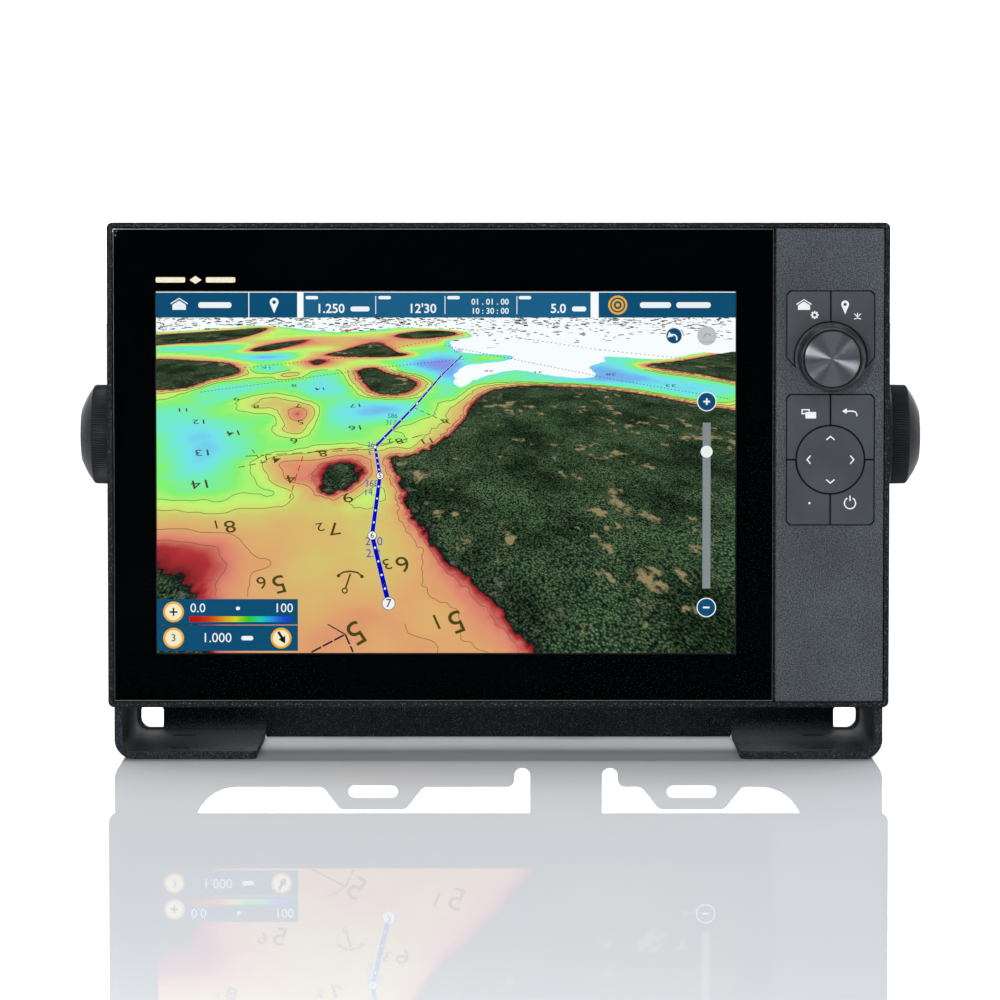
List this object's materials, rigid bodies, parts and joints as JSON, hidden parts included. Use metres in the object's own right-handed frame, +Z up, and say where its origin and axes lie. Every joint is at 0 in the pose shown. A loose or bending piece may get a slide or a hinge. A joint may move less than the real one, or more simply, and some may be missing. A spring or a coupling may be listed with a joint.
{
  "type": "chartplotter display",
  "caption": "Wide marine chartplotter with a touch screen, key panel and rotary knob, tilting in a folded sheet-metal bracket held by ribbed side clamp knobs.",
  "frame": {"origin": "middle of the four deck slots, on the underside of the feet", "axes": "+X to the right of someone facing the screen, +Y away from them, +Z up; the screen faces -Y"},
  "size_m": [0.387, 0.13, 0.2435],
  "materials": {
    "powder_coat": "fine-textured charcoal powder coat",
    "frame_plastic": "fine-grained black moulded plastic",
    "knob_plastic": "black moulded plastic, satin",
    "panel_plastic": "sparkle-grained dark slate moulding",
    "key_plastic": "smooth satin dark grey",
    "cover_glass": "polished, anti-reflection coated",
    "black_print": "black ceramic print",
    "screen": "lit colour display",
    "dial_plastic": "polished dark lacquer",
    "spun_aluminium": "spun in circles, anodised",
    "sheet_aluminium": "mill finish",
    "cast_case": "cast, black powder coat",
    "steel": "zinc plated",
    "brass": "turned",
    "rubber": "moulded silicone rubber",
    "circuit_board": "solder-masked glass epoxy",
    "connector_plastic": "moulded black plastic"
  },
  "bodies": {
    "bracket": {"mounting_bracket": "powder_coat"},
    "display": {"front_frame": "frame_plastic", "control_panel": "panel_plastic", "cover_glass": "cover_glass", "border_mask": "black_print", "glass_adhesive": "rubber", "touch_sensor": "cover_glass", "lcd_panel": "screen", "backlight_unit": "sheet_aluminium", "light_sensor": "connector_plastic", "keypad_mat": "rubber", "keypad_board": "circuit_board", "key_switches": "connector_plastic", "encoder_housing": "steel", "inner_frame": "sheet_aluminium", "standoffs": "brass", "main_board": "circuit_board", "board_screws": "steel", "heat_spreader": "sheet_aluminium", "buzzer": "connector_plastic", "gps_antenna": "connector_plastic", "chassis": "cast_case", "frame_seal": "rubber", "frame_screws": "steel", "connector_plate": "cast_case", "plate_screws": "steel", "power_connector": "connector_plastic", "nmea_connector": "steel", "network_connector": "connector_plastic", "transducer_connector": "connector_plastic", "video_connector": "rubber", "usb_connector": "rubber", "card_reader": "connector_plastic", "card_door_seal": "rubber", "card_door_pin": "steel", "breather_vent": "connector_plastic", "ground_screw": "steel", "left_friction_pad": "rubber", "left_thread_insert": "brass", "right_friction_pad": "rubber", "right_thread_insert": "brass"},
    "left_clamp_washer": {"left_clamp_washer": "steel"},
    "left_clamp_knob": {"left_clamp_knob": "knob_plastic", "left_clamp_stud": "steel"},
    "right_clamp_washer": {"right_clamp_washer": "steel"},
    "right_clamp_knob": {"right_clamp_knob": "knob_plastic", "right_clamp_stud": "steel"},
    "dial_plunger": {"encoder_plunger": "connector_plastic"},
    "rotary_dial": {"rotary_knob": "dial_plastic", "knob_cap": "spun_aluminium", "encoder_shaft": "steel"},
    "pad_pivot": {"pad_pivot": "connector_plastic"},
    "cursor_pad": {"cursor_pad": "key_plastic"},
    "card_door": {"card_door": "frame_plastic"},
    "home_key": {"home_key": "key_plastic"},
    "waypoint_key": {"waypoint_key": "key_plastic"},
    "window_key": {"window_key": "key_plastic"},
    "back_key": {"back_key": "key_plastic"},
    "function_key": {"function_key": "key_plastic"},
    "power_key": {"power_key": "key_plastic"}
  },
  "joints": [
    {"name": "display_tilt", "type": "hinge", "parent": "bracket", "child": "display", "pos_m": [0, -0.004, 0.146], "axis": [-1, 0, 0], "range_deg": [0, 30]},
    {"name": "left_clamp_slide", "type": "slide", "parent": "display", "child": "left_clamp_washer", "axis": [-1, 0, 0], "range_m": [0, 0.00375]},
    {"name": "left_clamp_turn", "type": "hinge", "parent": "left_clamp_washer", "child": "left_clamp_knob", "pos_m": [-0.18, -0.004, 0.146], "axis": [-1, 0, 0], "range_deg": [0, 1080]},
    {"name": "right_clamp_slide", "type": "slide", "parent": "display", "child": "right_clamp_washer", "axis": [1, 0, 0], "range_m": [0, 0.00375]},
    {"name": "right_clamp_turn", "type": "hinge", "parent": "right_clamp_washer", "child": "right_clamp_knob", "pos_m": [0.18, -0.004, 0.146], "axis": [1, 0, 0], "range_deg": [0, 1080]},
    {"name": "home_key_press", "type": "slide", "parent": "display", "child": "home_key", "axis": [0, 1, 0], "range_m": [0, 0.0008], "stiffness_N_per_m": 1500, "springref_m": -0.0005},
    {"name": "waypoint_key_press", "type": "slide", "parent": "display", "child": "waypoint_key", "axis": [0, 1, 0], "range_m": [0, 0.0008], "stiffness_N_per_m": 1500, "springref_m": -0.0005},
    {"name": "window_key_press", "type": "slide", "parent": "display", "child": "window_key", "axis": [0, 1, 0], "range_m": [0, 0.0008], "stiffness_N_per_m": 1500, "springref_m": -0.0005},
    {"name": "back_key_press", "type": "slide", "parent": "display", "child": "back_key", "axis": [0, 1, 0], "range_m": [0, 0.0008], "stiffness_N_per_m": 1500, "springref_m": -0.0005},
    {"name": "function_key_press", "type": "slide", "parent": "display", "child": "function_key", "axis": [0, 1, 0], "range_m": [0, 0.0008], "stiffness_N_per_m": 1500, "springref_m": -0.0005},
    {"name": "power_key_press", "type": "slide", "parent": "display", "child": "power_key", "axis": [0, 1, 0], "range_m": [0, 0.0008], "stiffness_N_per_m": 1500, "springref_m": -0.0005},
    {"name": "dial_push", "type": "slide", "parent": "display", "child": "dial_plunger", "axis": [0, 1, 0], "range_m": [0, 0.0005], "stiffness_N_per_m": 4000, "springref_m": -0.0003},
    {"name": "dial_spin", "type": "hinge", "parent": "dial_plunger", "child": "rotary_dial", "pos_m": [0.1496, -0.06, 0.1823], "axis": [0, -1, 0], "continuous": true},
    {"name": "pad_rock_up_down", "type": "hinge", "parent": "display", "child": "pad_pivot", "pos_m": [0.1496, -0.0496, 0.1366], "axis": [1, 0, 0], "range_deg": [-2.5, 2.5], "stiffness_Nm_per_rad": 0.5},
    {"name": "pad_rock_left_right", "type": "hinge", "parent": "pad_pivot", "child": "cursor_pad", "pos_m": [0.1496, -0.0496, 0.1366], "axis": [0, 0, 1], "range_deg": [-2.5, 2.5], "stiffness_Nm_per_rad": 0.5},
    {"name": "card_door_hinge", "type": "hinge", "parent": "display", "child": "card_door", "pos_m": [0.13, 0.0126, 0.085], "axis": [0, 0, 1], "range_deg": [0, 100]}
  ],
  "couplings": [
    {"joint": "left_clamp_slide", "follows": "left_clamp_turn", "m_per_rad": 0.00019894},
    {"joint": "right_clamp_slide", "follows": "right_clamp_turn", "m_per_rad": 0.00019894}
  ]
}
